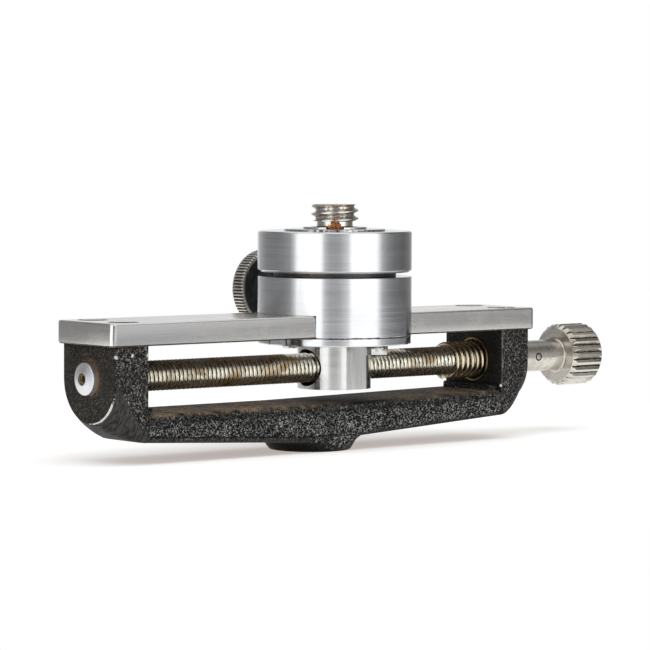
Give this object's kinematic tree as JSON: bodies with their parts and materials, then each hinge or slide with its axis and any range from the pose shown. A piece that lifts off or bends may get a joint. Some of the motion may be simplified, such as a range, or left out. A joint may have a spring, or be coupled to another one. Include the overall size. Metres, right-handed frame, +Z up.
{
  "type": "macro focusing rail",
  "caption": "Compact focusing rail: a lead screw turned by a fluted knob drives a carriage with a swivelling, clampable camera stud along a flat bar on a cast yoke.",
  "frame": {"origin": "centre of the tripod socket in the face of the foot", "axes": "+X along the rail towards the drive knob, +Y towards the clamp knob, +Z up along the camera stud"},
  "size_m": [0.131, 0.0391, 0.0488],
  "materials": {
    "crinkle_paint": "black crinkle paint on a casting",
    "zinc_steel": "plated steel",
    "ground_steel": "ground steel with fine lengthwise lines",
    "screw_steel": "plain turned screws",
    "turned_steel": "bright turned steel",
    "bronze": "aged bronze",
    "spring_wire": "spring wire with an oily brown tint",
    "lead_screw_steel": "cut thread with dark oil in its grooves",
    "nickel": "warm nickel plate",
    "satin_chrome": "satin turned chrome plate",
    "washer_steel": "dark oiled steel",
    "stud_steel": "bright steel with a little rust",
    "brass": "soft brass",
    "clamp_black": "black faces with a bright knurled rim"
  },
  "bodies": {
    "yoke": {"yoke_casting": "crinkle_paint", "tripod_bush": "zinc_steel", "rail_bar": "ground_steel", "rail_screws": "screw_steel", "end_bush": "turned_steel", "drive_bush": "bronze", "thrust_washer": "bronze", "buffer_spring": "spring_wire"},
    "drive": {"drive_screw": "lead_screw_steel", "drive_knob": "nickel", "knob_taper_pin": "screw_steel"},
    "carriage": {"carriage_body": "satin_chrome", "keeper_plate": "satin_chrome", "keeper_screws": "screw_steel", "lead_nut": "turned_steel", "swivel_washer": "washer_steel"},
    "swivel": {"swivel_plate": "satin_chrome", "swivel_pivot_screw": "screw_steel", "camera_stud": "stud_steel"},
    "clamp_slug": {"clamp_pad": "brass"},
    "clamp": {"clamp_screw": "screw_steel", "clamp_knob": "clamp_black"}
  },
  "joints": [
    {"name": "drive_turn", "type": "hinge", "parent": "yoke", "child": "drive", "pos_m": [0, 0, 0.01626], "axis": [1, 0, 0], "range_deg": [-7560.1, 13140.1]},
    {"name": "carriage_slide", "type": "slide", "parent": "yoke", "child": "carriage", "axis": [1, 0, 0], "range_m": [-0.0365, 0.021]},
    {"name": "swivel_turn", "type": "hinge", "parent": "carriage", "child": "swivel", "pos_m": [0.00625, 0, 0.03446], "axis": [0, 0, 1], "continuous": true},
    {"name": "clamp_feed", "type": "slide", "parent": "carriage", "child": "clamp_slug", "axis": [0, 1, 0], "range_m": [0, 0.0007]},
    {"name": "clamp_turn", "type": "hinge", "parent": "clamp_slug", "child": "clamp", "pos_m": [0.00625, 0, 0.03122], "axis": [0, 1, 0], "range_deg": [0, 360]}
  ],
  "couplings": [
    {"joint": "drive_turn", "follows": "carriage_slide", "rad_per_m": -6283.2},
    {"joint": "clamp_feed", "follows": "clamp_turn", "m_per_rad": 0.00011141}
  ]
}
